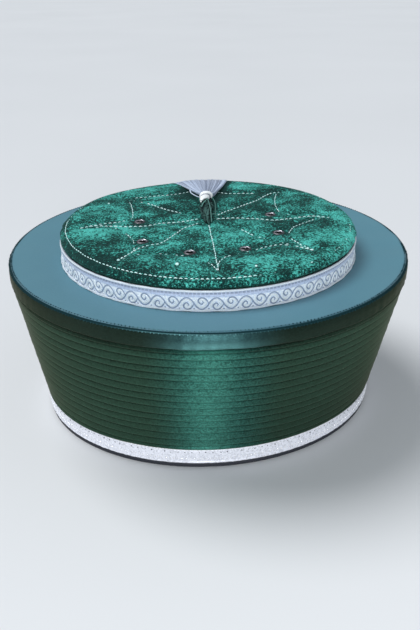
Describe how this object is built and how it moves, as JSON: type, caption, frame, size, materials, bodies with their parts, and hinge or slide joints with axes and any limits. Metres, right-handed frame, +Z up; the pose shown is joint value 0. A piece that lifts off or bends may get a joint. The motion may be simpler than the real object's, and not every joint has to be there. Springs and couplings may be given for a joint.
{
  "type": "padded turban with a velvet crown and a tassel",
  "caption": "Stiff round turban: hollow cap in a padded, pleated satin ring, silver braids, a quilted velvet crown with eyelets and a tassel.",
  "frame": {"origin": "middle of the bottom edge, on the surface that the hat stands on", "axes": "+Z up through the crown; X along the long way of the head opening; the tassel lies towards +Y"},
  "size_m": [0.2394, 0.2394, 0.1217],
  "materials": {
    "black_cloth": "black woven cap cloth over a stiffener",
    "black_binding": "black ribbed binding",
    "green_satin": "dark green satin laid in narrow flat pleats",
    "teal_satin": "smooth satin that shines teal from above",
    "glitter_braid": "silver white braid with a row of tiny beads",
    "scroll_braid": "silver braid woven with white running scrolls",
    "crushed_velvet": "crushed emerald velvet with pale stitching",
    "eyelet_metal": "dull pinkish grey pressed metal",
    "dark_thread": "dark green threads with a few pale ones",
    "white_thread": "shiny white bound thread",
    "silver_thread": "silver lavender silky threads"
  },
  "bodies": {
    "root": {"inner_cap": "black_cloth", "edge_binding": "black_binding", "pleated_wrap": "green_satin", "ledge_cover": "teal_satin", "lower_braid": "glitter_braid", "upper_braid": "scroll_braid", "crown_top": "crushed_velvet", "eyelet_1": "eyelet_metal", "eyelet_2": "eyelet_metal", "eyelet_3": "eyelet_metal", "eyelet_4": "eyelet_metal", "eyelet_5": "eyelet_metal", "eyelet_6": "eyelet_metal", "tassel_stem": "dark_thread", "tassel_neck": "white_thread", "tassel_skirt": "silver_thread"}
  },
  "joints": []
}
